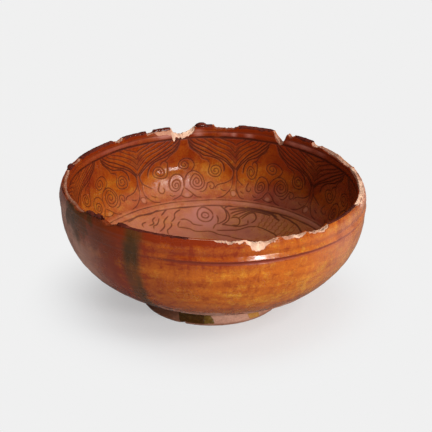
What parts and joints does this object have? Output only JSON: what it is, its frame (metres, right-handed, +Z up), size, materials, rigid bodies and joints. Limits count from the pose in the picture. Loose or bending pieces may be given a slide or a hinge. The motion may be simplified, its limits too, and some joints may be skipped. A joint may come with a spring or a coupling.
{
  "type": "bowl",
  "caption": "Wide footed earthenware bowl for serving food: incised cloud lappets and fish inside under amber glaze, green runs outside, a brown lip worn and chipped.",
  "frame": {"origin": "centre of the flat face that the foot ring stands on", "axes": "+Z up through the middle of the bowl; +Y to the far side of the picture and +X to its right"},
  "size_m": [0.1872, 0.1872, 0.0811],
  "materials": {
    "clay": "bare pinkish buff earthenware, matt and slightly rough where it is broken",
    "foot_clay": "bare fired clay of the foot, brownish pink, thinly stained by glaze, matt to satin",
    "inside_amber_glaze": "glossy transparent amber lead glaze, darker where it pools in the incised lines",
    "amber_glaze": "glossy mottled amber lead glaze, yellower where it is thin",
    "green_glaze": "glossy dark copper green lead glaze run over the amber",
    "brown_glaze": "glossy purple-brown manganese glaze left along the lip"
  },
  "bodies": {
    "root": {"clay_body": "clay", "foot_ring": "foot_clay", "inside_glaze": "inside_amber_glaze", "outside_glaze": "amber_glaze", "green_run_front": "green_glaze", "green_run_left": "green_glaze", "green_run_back": "green_glaze", "lip_glaze_01": "brown_glaze", "lip_glaze_02": "brown_glaze", "lip_glaze_03": "brown_glaze", "lip_glaze_04": "brown_glaze", "lip_glaze_05": "brown_glaze", "lip_glaze_06": "brown_glaze", "lip_glaze_07": "brown_glaze", "lip_glaze_08": "brown_glaze", "lip_glaze_09": "brown_glaze", "lip_glaze_10": "brown_glaze", "foot_glaze_green": "green_glaze", "foot_glaze_brown": "green_glaze", "foot_glaze_amber": "amber_glaze"}
  },
  "joints": []
}
